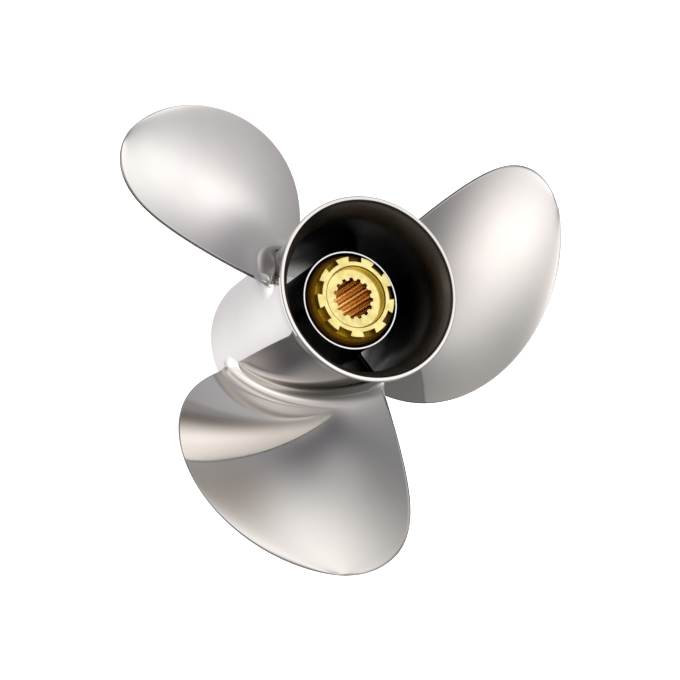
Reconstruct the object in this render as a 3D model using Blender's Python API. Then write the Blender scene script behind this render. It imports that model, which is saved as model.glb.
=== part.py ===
"""Three-blade right-hand boat propeller with exhaust through its hub.

Metres, +Z aft along the shaft axis. The origin is on the axis, in the plane of the hub's forward end,
so the propeller stands on that end with its blades around it and its exhaust mouth upwards.
Angles are seen from aft, counter-clockwise from +X.
"""

import math

import bmesh
import bpy

MM = 0.001

# Gap that neighbouring pieces keep where the real casting is solid or a fit is tight.
SEAM = 0.3 * MM

# Blades
BLADE_COUNT = 3
TIP_RADIUS = 168.3 * MM
PITCH = 403.0 * MM  # aft advance of the blade surface in one turn
RAKE = math.radians(18.2)  # aft lean of the blade at its root
RAKE_LOSS = 0.37 / MM / 1000  # the lean eases off outwards: metres of aft reach lost per metre squared
FIRST_BLADE_ANGLE = math.radians(-90.0)
REFERENCE_HEIGHT = 90.0 * MM  # where the first blade's reference line leaves the section radius
SECTION_RADIUS = 50.0 * MM  # radius at which the outline's span begins
SPAN = TIP_RADIUS - SECTION_RADIUS
# Middle of the chord, in degrees from the reference line, as a cubic in the share of the span.
SKEW = (-17.9, -16.0, 36.2, -4.0)
ROOT_HALF_CHORD = math.radians(41.9)
FULLNESS = 1.88  # higher keeps the blade wide further out
TIP_ROUNDNESS = 1.73  # 2 is an ellipse, lower is more pointed
EDGE_THICKNESS = 1.8 * MM
ROOT_THICKNESS = 8.5 * MM
TIP_THICKNESS = 2.6 * MM
SECTION_FULLNESS = 2.4  # higher carries the thickness closer to the edges
ROOT_FILLET = 11.0 * MM
FILLET_END_SHARE = 0.85  # how far the fillet reaches past the root's two ends, against its sides
FILLET_TURN = 0.88  # share of the half chord past which the fillet turns round the end
# Camber, by how far mid chord stands aft of the helical surface. It fades out towards the tip.
CAMBER = -1.05 * MM
CAMBER_LEAN = -1.2 * MM  # what it gains towards the trailing edge, near the tip
ROOT_CAMBER = -1.6 * MM  # what the root adds to it
ROOT_CAMBER_LEAN = 1.9 * MM
ROOT_CAMBER_FADE = 26.6 * MM  # distance from the barrel over which the root's share falls to a third

# Outer barrel and its flared mouth
BARREL_RADIUS = 51.5 * MM
BARREL_BORE = 48.0 * MM
BARREL_LENGTH = 128.0 * MM
BARREL_CHAMFER = 1.0 * MM
MOUTH_HEIGHT = 152.0 * MM
LIP_RADIUS = 57.2 * MM
LIP_BORE = 54.5 * MM
LIP_DEPTH = 2.6 * MM
LIP_STEP = 1.2 * MM  # how far the lip stands out from the flare behind it
LIP_ROUND = 0.5 * MM
FLARE_POWER = 3.0  # the flare opens late, close behind the lip

# Inner hub, the tube that carries the bushing
HUB_RADIUS = 31.2 * MM
HUB_HEIGHT = 121.6 * MM
HUB_FOOT = 7.0 * MM
HUB_MOUTH_BORE = 29.9 * MM
HUB_MOUTH_DEPTH = 12.0 * MM
HUB_BORE = 27.7 * MM
WEB_BORE = 18.5 * MM
WEB_THICKNESS = 6.0 * MM

# Ribs between the tube and the barrel
RIB_COUNT = 3
FIRST_RIB_ANGLE = math.radians(-50.5)
RIB_THICKNESS = 5.0 * MM
RIB_FOOT = 10.0 * MM
RIB_TOP = 86.0 * MM

# Rubber bushing
RUBBER_FOOT = HUB_FOOT + WEB_THICKNESS + SEAM
RUBBER_TOP = 108.0 * MM

# Brass sleeve with its castellated collar
SLEEVE_RADIUS = 17.4 * MM
SLEEVE_FOOT = 5.0 * MM
COLLAR_RADIUS = 28.2 * MM
COLLAR_SHOULDER = 121.5 * MM
COLLAR_FLOOR = 125.6 * MM
COLLAR_TOP = 130.3 * MM
TOOTH_COUNT = 9
TOOTH_RADIUS = 25.3 * MM
TOOTH_ROOT_RADIUS = 22.2 * MM
FIRST_TOOTH_ANGLE = math.radians(-8.0)
NOTCH_WIDTH = math.radians(20.0)
SEAT_RADIUS = 19.0 * MM
SEAT_HEIGHT = 126.0 * MM
SPLINE_COUNT = 15
SPLINE_MAJOR_RADIUS = 12.7 * MM
SPLINE_MINOR_RADIUS = 11.2 * MM
# Half widths of a groove at its mouth and its floor, as shares of the spacing.
GROOVE_MOUTH = 0.30
GROOVE_FLOOR = 0.19
FIRST_GROOVE_ANGLE = math.radians(1.5)
CUTTER_REACH = 2.0 * MM

# Facets
BARREL_SEGMENTS = 72
HUB_SEGMENTS = 72
SLEEVE_SEGMENTS = 90
FLARE_STEPS = 6
FLARE_CROWDING = 0.7  # under 1 the steps sit closer together towards the lip
NOTCH_STEPS = 4
BLADE_ROWS = 14
BLADE_COLUMNS = 16
FILLET_ROWS = 4
ROOT_CROWDING = 1.5  # over 1 the fillet's rows sit closer together towards the barrel
TIP_CROWDING = 1.7  # over 1 the blade's rows sit closer together towards the tip
ROOT_STEPS = 5
SHARP_ANGLE = math.radians(35.0)

TURN = 2 * math.pi


def clear_scene():
    for obj in list(bpy.data.objects):
        bpy.data.objects.remove(obj, do_unlink=True)


def metal(name, colour, roughness, metallic=1.0):
    material = bpy.data.materials.new(name)
    material.use_nodes = True
    shader = material.node_tree.nodes["Principled BSDF"]
    shader.inputs["Base Color"].default_value = (*colour, 1.0)
    shader.inputs["Roughness"].default_value = roughness
    shader.inputs["Metallic"].default_value = metallic
    return material


def add_object(name, points, faces, material):
    """A closed mesh from points and faces, with its faces turned outwards."""
    shape = bmesh.new()
    corners = [shape.verts.new(point) for point in points]
    for face in faces:
        shape.faces.new([corners[i] for i in face])
    bmesh.ops.recalc_face_normals(shape, faces=shape.faces)
    mesh = bpy.data.meshes.new(name)
    shape.to_mesh(mesh)
    shape.free()
    mesh.materials.append(material)
    mesh.shade_smooth()
    mesh.set_sharp_from_angle(angle=SHARP_ANGLE)
    obj = bpy.data.objects.new(name, mesh)
    bpy.context.scene.collection.objects.link(obj)
    return obj


def polar(radius, angle, height):
    return (radius * math.cos(angle), radius * math.sin(angle), height)


def turned(name, profile, segments, material):
    """A ring: the closed profile of (radius, height) points turned about the axis."""
    points = []
    for step in range(segments):
        angle = TURN * step / segments
        points += [polar(radius, angle, height) for radius, height in profile]
    count = len(profile)
    faces = []
    for step in range(segments):
        here, there = step * count, (step + 1) % segments * count
        for i in range(count):
            j = (i + 1) % count
            faces.append((here + i, here + j, there + j, there + i))
    return add_object(name, points, faces, material)


def turned_solid(name, profile, segments, material):
    """A solid without a bore: the open profile runs from the axis round the outside and back to the axis."""
    rim = profile[1:-1]
    points = []
    for step in range(segments):
        angle = TURN * step / segments
        points += [polar(radius, angle, height) for radius, height in rim]
    foot, top = len(points), len(points) + 1
    points += [(0.0, 0.0, profile[0][1]), (0.0, 0.0, profile[-1][1])]
    count = len(rim)
    faces = []
    for step in range(segments):
        here, there = step * count, (step + 1) % segments * count
        for i in range(count - 1):
            faces.append((here + i, there + i, there + i + 1, here + i + 1))
        faces.append((foot, there, here))
        faces.append((top, here + count - 1, there + count - 1))
    return add_object(name, points, faces, material)


def prisms(name, outlines, low, high, material):
    """Outlines of (x, y) points, each carried straight up from low to high."""
    points, faces = [], []
    for outline in outlines:
        first, count = len(points), len(outline)
        points += [(x, y, low) for x, y in outline] + [(x, y, high) for x, y in outline]
        foot = list(range(first, first + count))
        faces += [foot, [i + count for i in foot]]
        for i, j in zip(foot, foot[1:] + foot[:1]):
            faces.append((i, j, j + count, i + count))
    return add_object(name, points, faces, material)


def arc(radius, start, end, steps):
    """Points (x, y) along an arc about the axis, both ends included."""
    return [polar(radius, start + (end - start) * i / steps, 0.0)[:2] for i in range(steps + 1)]


def cut(target, cutter):
    """Cuts one object from another with a modifier, and keeps the cutter out of the render."""
    cutter.hide_render = True
    cutter.display_type = "WIRE"
    modifier = target.modifiers.new("cut_" + cutter.name, "BOOLEAN")
    modifier.operation = "DIFFERENCE"
    modifier.solver = "EXACT"
    modifier.object = cutter


def make_barrel(material):
    profile = [
        (BARREL_BORE + BARREL_CHAMFER / 2, 0.0),
        (BARREL_RADIUS - BARREL_CHAMFER, 0.0),
        (BARREL_RADIUS, BARREL_CHAMFER),
        (BARREL_RADIUS, BARREL_LENGTH),
        (BARREL_BORE, BARREL_LENGTH),
        (BARREL_BORE, BARREL_CHAMFER / 2),
    ]
    return turned("hub_barrel", profile, BARREL_SEGMENTS, material)


def flare(start_radius, end_radius, start, end):
    """Radius and height along a flare that leaves the barrel straight and opens outwards."""
    curve = []
    for step in range(FLARE_STEPS + 1):
        share = (step / FLARE_STEPS) ** FLARE_CROWDING
        radius = start_radius + (end_radius - start_radius) * share ** FLARE_POWER
        curve.append((radius, start + (end - start) * share))
    return curve


def make_mouth(material):
    foot = BARREL_LENGTH + SEAM
    lip_foot = MOUTH_HEIGHT - LIP_DEPTH
    outside = flare(BARREL_RADIUS, LIP_RADIUS - LIP_STEP, foot, lip_foot)
    lip = [
        (LIP_RADIUS, lip_foot),
        (LIP_RADIUS, MOUTH_HEIGHT - LIP_ROUND),
        (LIP_RADIUS - LIP_ROUND, MOUTH_HEIGHT),
        (LIP_BORE + LIP_ROUND, MOUTH_HEIGHT),
    ]
    inside = flare(BARREL_BORE, LIP_BORE, foot, MOUTH_HEIGHT - LIP_ROUND)
    return turned("exhaust_mouth", outside + lip + inside[::-1], BARREL_SEGMENTS, material)


def make_inner_hub(material):
    web_top = HUB_FOOT + WEB_THICKNESS
    ledge = HUB_HEIGHT - HUB_MOUTH_DEPTH
    profile = [
        (WEB_BORE, HUB_FOOT),
        (HUB_RADIUS, HUB_FOOT),
        (HUB_RADIUS, HUB_HEIGHT - LIP_ROUND),
        (HUB_RADIUS - LIP_ROUND, HUB_HEIGHT),
        (HUB_MOUTH_BORE, HUB_HEIGHT),
        (HUB_MOUTH_BORE, ledge),
        (HUB_BORE, ledge),
        (HUB_BORE, web_top),
        (WEB_BORE, web_top),
    ]
    return turned("inner_hub", profile, HUB_SEGMENTS, material)


def make_rib(number, material):
    """A wall along the shaft, its two ends curved to the tube and the barrel."""
    angle = FIRST_RIB_ANGLE + TURN * (number - 1) / RIB_COUNT
    inner, outer = HUB_RADIUS + SEAM, BARREL_BORE - SEAM
    inner_half = math.asin(RIB_THICKNESS / 2 / inner)
    outer_half = math.asin(RIB_THICKNESS / 2 / outer)
    outline = arc(inner, angle + inner_half, angle - inner_half, 2)
    outline += arc(outer, angle - outer_half, angle + outer_half, 2)
    return prisms(f"rib_{number}", [outline], RIB_FOOT, RIB_TOP, material)


def make_bushing(material):
    profile = [
        (SLEEVE_RADIUS + SEAM, RUBBER_FOOT),
        (HUB_BORE - SEAM, RUBBER_FOOT),
        (HUB_BORE - SEAM, RUBBER_TOP),
        (SLEEVE_RADIUS + SEAM, RUBBER_TOP),
    ]
    return turned("rubber_bushing", profile, HUB_SEGMENTS, material)


def spline_outline():
    """The splined shaft's section: a ridge for each groove of the bore, its flanks narrowing outwards."""
    points = []
    pitch = TURN / SPLINE_COUNT
    for i in range(SPLINE_COUNT):
        middle = FIRST_GROOVE_ANGLE + i * pitch
        for radius, share in (
            (SPLINE_MINOR_RADIUS, -GROOVE_MOUTH),
            (SPLINE_MAJOR_RADIUS, -GROOVE_FLOOR),
            (SPLINE_MAJOR_RADIUS, GROOVE_FLOOR),
            (SPLINE_MINOR_RADIUS, GROOVE_MOUTH),
        ):
            points.append(polar(radius, middle + share * pitch, 0.0)[:2])
    return points


def notch_outlines():
    """One sector between each two teeth of the collar."""
    outlines = []
    for number in range(TOOTH_COUNT):
        middle = FIRST_TOOTH_ANGLE + TURN / TOOTH_COUNT * (number + 0.5)
        start, end = middle - NOTCH_WIDTH / 2, middle + NOTCH_WIDTH / 2
        root = arc(TOOTH_ROOT_RADIUS, end, start, NOTCH_STEPS)
        outlines.append(root + arc(COLLAR_RADIUS, start, end, NOTCH_STEPS))
    return outlines


def make_sleeve(material):
    collar_foot = RUBBER_TOP + SEAM
    ledge = HUB_HEIGHT - HUB_MOUTH_DEPTH + SEAM
    profile = [
        (0.0, SLEEVE_FOOT),
        (SLEEVE_RADIUS, SLEEVE_FOOT),
        (SLEEVE_RADIUS, collar_foot),
        (HUB_BORE - SEAM, collar_foot),
        (HUB_BORE - SEAM, ledge),
        (COLLAR_RADIUS, ledge),
        (COLLAR_RADIUS, COLLAR_SHOULDER),
        (TOOTH_RADIUS, COLLAR_FLOOR),
        (TOOTH_RADIUS, COLLAR_TOP),
        (SEAT_RADIUS, COLLAR_TOP),
        (SEAT_RADIUS, SEAT_HEIGHT),
        (0.0, SEAT_HEIGHT),
    ]
    sleeve = turned_solid("brass_sleeve", profile, SLEEVE_SEGMENTS, material)
    low, high = SLEEVE_FOOT - CUTTER_REACH, COLLAR_TOP + CUTTER_REACH
    cut(sleeve, prisms("spline_cutter", [spline_outline()], low, high, material))
    cut(sleeve, prisms("notch_cutter", notch_outlines(), COLLAR_FLOOR, high, material))
    return sleeve


def fillet_reach(radius):
    """How far the root fillet stands out of the blade's face at a radius: a quarter circle in section."""
    share = (radius - BARREL_RADIUS) / ROOT_FILLET
    if share >= 1:
        return 0.0
    share = max(share, 0.0)
    return ROOT_FILLET * (1 - math.sqrt(1 - (1 - share) ** 2))


def blade_radii():
    """Radii of the blade's rows: close in the fillet, then closing up towards the tip."""
    root, first = BARREL_RADIUS + SEAM, BARREL_RADIUS + ROOT_FILLET
    rows = [root + (first - root) * (i / FILLET_ROWS) ** ROOT_CROWDING for i in range(FILLET_ROWS)]
    for i in range(BLADE_ROWS + 1):
        left = 1 - i / BLADE_ROWS
        rows.append(TIP_RADIUS - (TIP_RADIUS - first) * left ** TIP_CROWDING)
    return rows


def section(radius):
    """Chord middle and half width as angles, and the thickest point's thickness, at a radius."""
    share = (radius - SECTION_RADIUS) / SPAN
    skew = sum(term * share ** power for power, term in enumerate(SKEW))
    half = ROOT_HALF_CHORD * max(1 - share ** FULLNESS, 0.0) ** (1 / TIP_ROUNDNESS)
    thickness = ROOT_THICKNESS + (TIP_THICKNESS - ROOT_THICKNESS) * share
    return math.radians(skew), half, thickness


def camber(radius, across):
    """How far both faces are bent aft of the helical surface: not at all at the blade's edges."""
    share = (radius - SECTION_RADIUS) / SPAN
    near = math.exp(-(radius - BARREL_RADIUS) / ROOT_CAMBER_FADE)
    bend = CAMBER * (1 - share) + ROOT_CAMBER * near
    lean = CAMBER_LEAN * share + ROOT_CAMBER_LEAN * near
    return (bend + lean * across) * (1 - across ** 2)


def blade_point(radius, across, through, spin):
    """A point of the blade: across runs -1 to 1 from leading to trailing edge, through 0 to 1 from the
    aft, driving face to the forward face. Both offsets stay on the cylinder of the given radius."""
    middle, half, thickest = section(radius)
    fillet = fillet_reach(radius)
    slope = math.atan2(PITCH, TURN * radius)
    body = EDGE_THICKNESS + (thickest - EDGE_THICKNESS) * (1 - abs(across) ** SECTION_FULLNESS)
    end = max(abs(across) - FILLET_TURN, 0.0) / (1 - FILLET_TURN) * math.pi / 2
    driving = EDGE_THICKNESS / 2 + fillet * math.cos(end)
    forward = driving - body - 2 * fillet * math.cos(end)
    lift = driving + (forward - driving) * through + camber(radius, across)
    along = math.copysign(fillet * FILLET_END_SHARE * math.sin(end), across)
    angle = middle + across * half
    reach = radius - SECTION_RADIUS
    height = REFERENCE_HEIGHT + PITCH * angle / TURN + math.tan(RAKE) * reach - RAKE_LOSS * reach ** 2
    height += lift * math.cos(slope) + along * math.sin(slope)
    angle += (along * math.cos(slope) - lift * math.sin(slope)) / radius
    return polar(radius, angle + spin, height)


def make_blade(number, material):
    spin = FIRST_BLADE_ANGLE + TURN * (number - 1) / BLADE_COUNT
    radii = blade_radii()
    columns = range(BLADE_COLUMNS + 1)
    # Columns sit closer together near both edges: the mean of even and cosine spacing.
    across = [j / BLADE_COLUMNS - 0.5 - math.cos(math.pi * j / BLADE_COLUMNS) / 2 for j in columns]
    points, grid = [], {}
    for side in (0, 1):
        for row, radius in enumerate(radii[:-1]):
            for j in columns:
                grid[side, row, j] = len(points)
                points.append(blade_point(radius, across[j], side, spin))
        tip = len(points)
        points.append(blade_point(radii[-1], 0.0, side, spin))
        for j in columns:
            grid[side, len(radii) - 1, j] = tip
    # The root, curved to the barrel.
    root = {}
    for j in columns:
        root[0, j], root[ROOT_STEPS, j] = grid[0, 0, j], grid[1, 0, j]
        for k in range(1, ROOT_STEPS):
            root[k, j] = len(points)
            points.append(blade_point(radii[0], across[j], k / ROOT_STEPS, spin))
    faces = []
    for j in range(BLADE_COLUMNS):
        for k in range(ROOT_STEPS):
            faces.append((root[k, j], root[k, j + 1], root[k + 1, j + 1], root[k + 1, j]))
    last = len(radii) - 2
    for side in (0, 1):
        for j in range(BLADE_COLUMNS):
            for row in range(last):
                faces.append(
                    (grid[side, row, j], grid[side, row, j + 1], grid[side, row + 1, j + 1], grid[side, row + 1, j])
                )
            faces.append((grid[side, last, j], grid[side, last, j + 1], grid[side, last + 1, j]))
    # The rim between the two faces, along both edges and over the tip.
    for j in (0, BLADE_COLUMNS):
        for row in range(last + 1):
            start = [root[k, j] for k in range(ROOT_STEPS + 1)] if row == 0 else [grid[0, row, j], grid[1, row, j]]
            faces.append([*start, grid[1, row + 1, j], grid[0, row + 1, j]])
    return points, faces


def main():
    clear_scene()
    steel = metal("polished_steel", (0.62, 0.60, 0.59), 0.18)
    dark_steel = metal("hub_inside_steel", (0.16, 0.14, 0.13), 0.45)
    brass = metal("brass", (0.86, 0.66, 0.28), 0.28)
    rubber = metal("black_rubber", (0.02, 0.02, 0.02), 0.8, metallic=0.0)
    make_barrel(steel)
    make_mouth(steel)
    make_inner_hub(dark_steel)
    for number in range(1, RIB_COUNT + 1):
        make_rib(number, dark_steel)
    make_bushing(rubber)
    make_sleeve(brass)
    for number in range(1, BLADE_COUNT + 1):
        points, faces = make_blade(number, steel)
        add_object(f"blade_{number}", points, faces, steel)


main()
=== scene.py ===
"""Looks of a three-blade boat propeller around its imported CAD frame.

Metres, in the frame of the CAD part: +Z aft along the shaft axis, the hub's forward end on the floor at
z = 0. Angles are seen from aft, counter-clockwise from +X.
"""

import math

import bmesh
import bpy
import numpy as np
from mathutils import Matrix, Vector
from mathutils.geometry import delaunay_2d_cdt


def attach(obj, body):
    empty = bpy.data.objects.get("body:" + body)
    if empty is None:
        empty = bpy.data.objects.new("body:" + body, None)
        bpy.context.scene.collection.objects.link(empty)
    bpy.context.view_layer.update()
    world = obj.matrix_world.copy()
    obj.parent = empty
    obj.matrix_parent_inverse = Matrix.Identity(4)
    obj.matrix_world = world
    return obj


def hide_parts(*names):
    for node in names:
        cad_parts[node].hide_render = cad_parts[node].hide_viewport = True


MM = 0.001
TURN = 2 * math.pi

# Blades, as in the CAD source
BLADE_COUNT = 3
TIP_RADIUS = 168.3 * MM
PITCH = 403.0 * MM
RAKE = math.radians(18.2)
RAKE_LOSS = 0.37
FIRST_BLADE_ANGLE = math.radians(-90.0)
REFERENCE_HEIGHT = 90.0 * MM
SECTION_RADIUS = 50.0 * MM
SPAN = TIP_RADIUS - SECTION_RADIUS
SKEW = (-17.9, -16.0, 36.2, -4.0)
ROOT_HALF_CHORD = math.radians(41.9)
FULLNESS = 1.88
TIP_ROUNDNESS = 1.73
EDGE_THICKNESS = 1.8 * MM
ROOT_THICKNESS = 8.5 * MM
TIP_THICKNESS = 2.6 * MM
THICKNESS_FADE = 1.4  # how fast the forward face's share of the thickness falls towards the edges
ROOT_FILLET = 11.0 * MM
FILLET_END_SHARE = 0.85
FILLET_TURN = 0.88
CAMBER = -1.05 * MM
CAMBER_LEAN = -1.2 * MM
ROOT_CAMBER = -1.6 * MM
ROOT_CAMBER_LEAN = 1.9 * MM
ROOT_CAMBER_FADE = 26.6 * MM

# Barrel and mouth, as in the CAD source
BARREL_RADIUS = 51.5 * MM
BARREL_BORE = 48.0 * MM
FLARE_FOOT = 128.3 * MM
BARREL_CHAMFER = 1.0 * MM
MOUTH_HEIGHT = 152.0 * MM
LIP_RADIUS = 57.2 * MM
LIP_BORE = 54.5 * MM
LIP_DEPTH = 2.6 * MM
LIP_STEP = 1.2 * MM
LIP_ROUND = 0.7 * MM
LIP_INNER_ROUND = 0.6 * MM
LIP_BACK_ROUND = 0.35 * MM
LIP_CORNER = 0.5 * MM  # rounding of the corner where the flare meets the lip
FLARE_POWER = 3.0
FLARE_STEPS = 16
FLARE_CROWDING = 0.8
BARREL_END_ROUND = 0.5 * MM
BARE_END_POINTS = 8  # the profile's last points, round the forward end, which stay polished

# Inner hub
HUB_RADIUS = 31.2 * MM
HUB_HEIGHT = 121.6 * MM
HUB_FOOT = 7.0 * MM
HUB_MOUTH_BORE = 29.9 * MM
HUB_MOUTH_DEPTH = 12.0 * MM
HUB_BORE = 27.7 * MM
WEB_BORE = 18.5 * MM
WEB_THICKNESS = 6.0 * MM
WEB_BORE_ROUND = 0.5 * MM
HUB_RIM_ROUND = 0.35 * MM
HUB_RIM_INNER_ROUND = 0.3 * MM
HUB_RIM_HEIGHT = 0.5 * MM  # how far down the rim is bright
HUB_LEDGE_ROUND = 0.2 * MM
HUB_CAST_ROUND = 0.8 * MM
TUBE_MIDDLE = 60.0 * MM  # a plain point of the long profiles

# Ribs
RIB_COUNT = 3
FIRST_RIB_ANGLE = math.radians(-50.5)
RIB_THICKNESS = 5.0 * MM
RIB_FOOT = 10.0 * MM
RIB_TOP = 86.0 * MM
RIB_END_GAP = 0.05 * MM
RIB_FLARE = 2.5 * MM

# Brass sleeve
SEAM = 0.3 * MM
RUBBER_TOP = 108.0 * MM
SLEEVE_RADIUS = 17.4 * MM
SLEEVE_FOOT = 5.0 * MM
COLLAR_RADIUS = 28.2 * MM
COLLAR_SHOULDER = 121.5 * MM
COLLAR_FLOOR = 125.6 * MM
COLLAR_TOP = 130.3 * MM
TOOTH_COUNT = 9
TOOTH_RADIUS = 25.3 * MM
TOOTH_ROOT_RADIUS = 22.2 * MM
FIRST_TOOTH_ANGLE = math.radians(-8.0)
NOTCH_WIDTH = 8.3 * MM
RELIEF_WIDTH = 0.5 * MM
RELIEF_DEPTH = 0.3 * MM
RELIEF_SLOPE = 0.1 * MM
RECESS_CHAMFER = 0.6 * MM
SEAT_RADIUS = 19.0 * MM
SEAT_HEIGHT = 126.0 * MM
BORE_CHAMFER = 0.35 * MM
EDGE_BREAK = 0.22 * MM
SHARP_EDGE = math.radians(28)
SMOOTH_LIMIT = math.radians(50)
BEVEL_FOOT = 100 * MM  # only the collar's edges are broken, outside the relief groove
BEVEL_INNER_RADIUS = 18.5 * MM
SPLINE_COUNT = 15
SPLINE_MAJOR_RADIUS = 12.7 * MM
SPLINE_MINOR_RADIUS = 11.2 * MM
GROOVE_MOUTH = 0.30
GROOVE_FLOOR = 0.19
FIRST_GROOVE_ANGLE = math.radians(1.5)
SPLINE_EASE = 0.16  # share of a groove's flank that is eased at either end
SPLINE_STEP = 0.16 * MM  # radial size of an eased corner
SPLINE_LEVELS = (40.0 * MM, 80.0 * MM)  # plain rings of the long bore

# Material numbers of the casting, the inner hub and the sleeve
POLISHED, INSIDE, EDGE = range(3)
CAST_WALL, BRIGHT_RIM = range(2)
TURNED, TARNISHED_AND_SHADED, BROACHED = range(3)

# Inside the barrel: where the painted light at the forward end gives way to the near black wall, where the
# wall turns lighter brown towards the mouth, and where a painted shade that dims the sheen on the right
# sets in and fades out.
FORWARD_LIGHT_TOP = 48 * MM
DARK_WALL_TOP = (104 * MM, 146 * MM)
DIM_SHEEN_FOOT = (50 * MM, 76 * MM)
DIM_SHEEN_TOP = (116 * MM, 136 * MM)
DIM_SHEEN_SIDE = (0.80, 0.92)  # cosine of the angle from the right-hand side

# Towards the side of the collar that is painted lighter, as light falls there
PAINTED_LIT_SIDE = (-0.84, -0.54, 0.0)

# Camera of the photograph
FRAME_SIDE = 680
SENSOR = 36.0
CAMERA_TILT = math.radians(26.04)
CAMERA_TURN = math.radians(30.32)
CAMERA_DISTANCE = 1057.47 * MM
FOCAL_PIXELS = 1545.4
AXIS_PIXEL = (282.34, 343.56)

# Studio
ROOM_LIGHT = (0.23, 0.233, 0.232)
UNDER_HUB_LIGHT = 0.4
UNDER_BORE_LIGHT = 1.95
FLOOR_SIDE = 6.0
BORE_LIGHT_SIDES = 48
BORE_LIGHT_HEIGHT = 0.2 * MM
# What each light or dark flag adds to the room's even light, by the angle of its middle from the shaft
# axis, its azimuth, its tightness and its colour.
STUDIO_LIGHTS = (
    ("pale table all round", 144, 121, 1.6, (0.95, 0.935, 0.97)),
    ("white table beside the hub", 157, -168, 16, (0.2, 0.215, 0.25)),
    ("lamp in line with the mouth", 26, 33, 60, (1.4, 1.4, 1.4)),
    ("lamp beside the camera", 26, -150, 20, (0.5, 0.47, 0.42)),
    ("softbox above", 41, 108, 23, (1.24, 1.20, 1.15)),
    ("softbox over the lower blade", 39.5, -50.5, 21, (0.73, 0.74, 0.72)),
    ("warm softbox at the lower right", 48, -55, 15.5, (0.83, 0.75, 0.74)),
    ("lamp below", 47.5, -91.5, 25, (0.55, 0.53, 0.51)),
    ("lamp at the upper left", 57.5, 133, 50, (0.42, 0.40, 0.38)),
    ("flag at the upper left", 65.5, 128.5, 16, (-0.62, -0.60, -0.57)),
    ("narrow flag above", 57, 97.5, 90, (-0.20, -0.23, -0.26)),
    ("warm lamp at the upper left", 83.5, 123, 45, (0.71, 0.62, 0.55)),
    ("strip at the upper right", 76, 42, 80, (0.80, 0.82, 0.79)),
    ("low lamp at the right", 91.5, 37, 56, (0.78, 0.74, 0.74)),
    ("small low lamp at the right", 99, 28, 90, (0.25, 0.25, 0.24)),
    ("narrow flag over the right blade", 31, -88, 50, (-0.17, -0.16, -0.16)),
    ("wide strip at the right", 85, 27.5, 11.5, (0.54, 0.52, 0.52)),
    ("low lamp at the left", 93, 175, 46, (0.95, 0.90, 0.87)),
    ("small low lamp at the left", 87, 156, 80, (0.45, 0.42, 0.40)),
    ("small warm lamp at the left", 89, -177, 100, (0.38, 0.31, 0.28)),
    ("narrow flag at the left", 77, 143, 110, (-0.11, -0.11, -0.10)),
    ("flag at the lower left", 98.5, -150.5, 10.5, (-0.27, -0.28, -0.30)),
    ("table light at the left", 130.5, 160.5, 35, (0.82, 0.84, 0.79)),
    ("table light at the lower left", 134.5, -167, 19.5, (0.95, 0.92, 0.81)),
    ("wide table light at the left", 115, 158.5, 7.3, (0.67, 0.60, 0.51)),
    ("dark table at the upper left", 119, 122.5, 20, (-0.82, -0.83, -0.86)),
    ("dark table at the upper right", 111.5, 61.5, 14, (-0.32, -0.33, -0.31)),
    ("dark table behind", 154, 33, 30, (-0.25, -0.25, -0.25)),
)

# Mesh steps
WELD = 0.002 * MM
ROUNDING_STEPS = 4
STATIONS = 192
HUB_STATIONS = 144
SLEEVE_STATIONS = 180
RIB_STEPS = 20
RIB_TOP_STEPS = 8
FILLET_ROWS = 14
BLADE_ROWS = 88
TIP_CROWDING = 1.5
HALF_COLUMNS = 40
EDGE_ARC_STEPS = 4
EDGE_ROOM = 12.0 * MM  # half chord below which the columns at the edge close up
EDGE_COLUMNS = (1.6, 2.6)  # the columns next to the edge's arc, in its radius
SKIN_STEP = 3.0 * MM
SKIN_CLEARANCE = 1.0 * MM
SAME_PLACE = 1e-5  # millimetres, in the flattened skin


def polar(radius, angle, height):
    return (radius * math.cos(angle), radius * math.sin(angle), height)


# Profiles and turned surfaces

def rounded(corners):
    """A path of (radius, height, rounding) corners as points with normals on its right-hand side.

    A corner with a rounding becomes an arc. One without is a point of a smooth curve."""
    path = [np.array(corner[:2], float) for corner in corners]
    spans = [b - a for a, b in zip(path, path[1:])]
    units = [span / np.linalg.norm(span) for span in spans]
    sides = [np.array((unit[1], -unit[0])) for unit in units]
    points, normals = [path[0]], [sides[0]]
    for i in range(1, len(path) - 1):
        rounding = corners[i][2]
        if not rounding:
            mean = sides[i - 1] + sides[i]
            points.append(path[i])
            normals.append(mean / np.linalg.norm(mean))
            continue
        cross = units[i - 1][0] * units[i][1] - units[i - 1][1] * units[i][0]
        bend = math.atan2(cross, float(units[i - 1] @ units[i]))
        back = rounding * math.tan(abs(bend) / 2)
        start = path[i] - units[i - 1] * back
        centre = start - sides[i - 1] * rounding * math.copysign(1, bend)
        for k in range(ROUNDING_STEPS + 1):
            turn = bend * k / ROUNDING_STEPS
            side = sides[i - 1]
            side = np.array((
                side[0] * math.cos(turn) - side[1] * math.sin(turn),
                side[0] * math.sin(turn) + side[1] * math.cos(turn),
            ))
            points.append(centre + side * rounding * math.copysign(1, bend))
            normals.append(side)
    points.append(path[-1])
    normals.append(sides[-1])
    return points, normals


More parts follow.
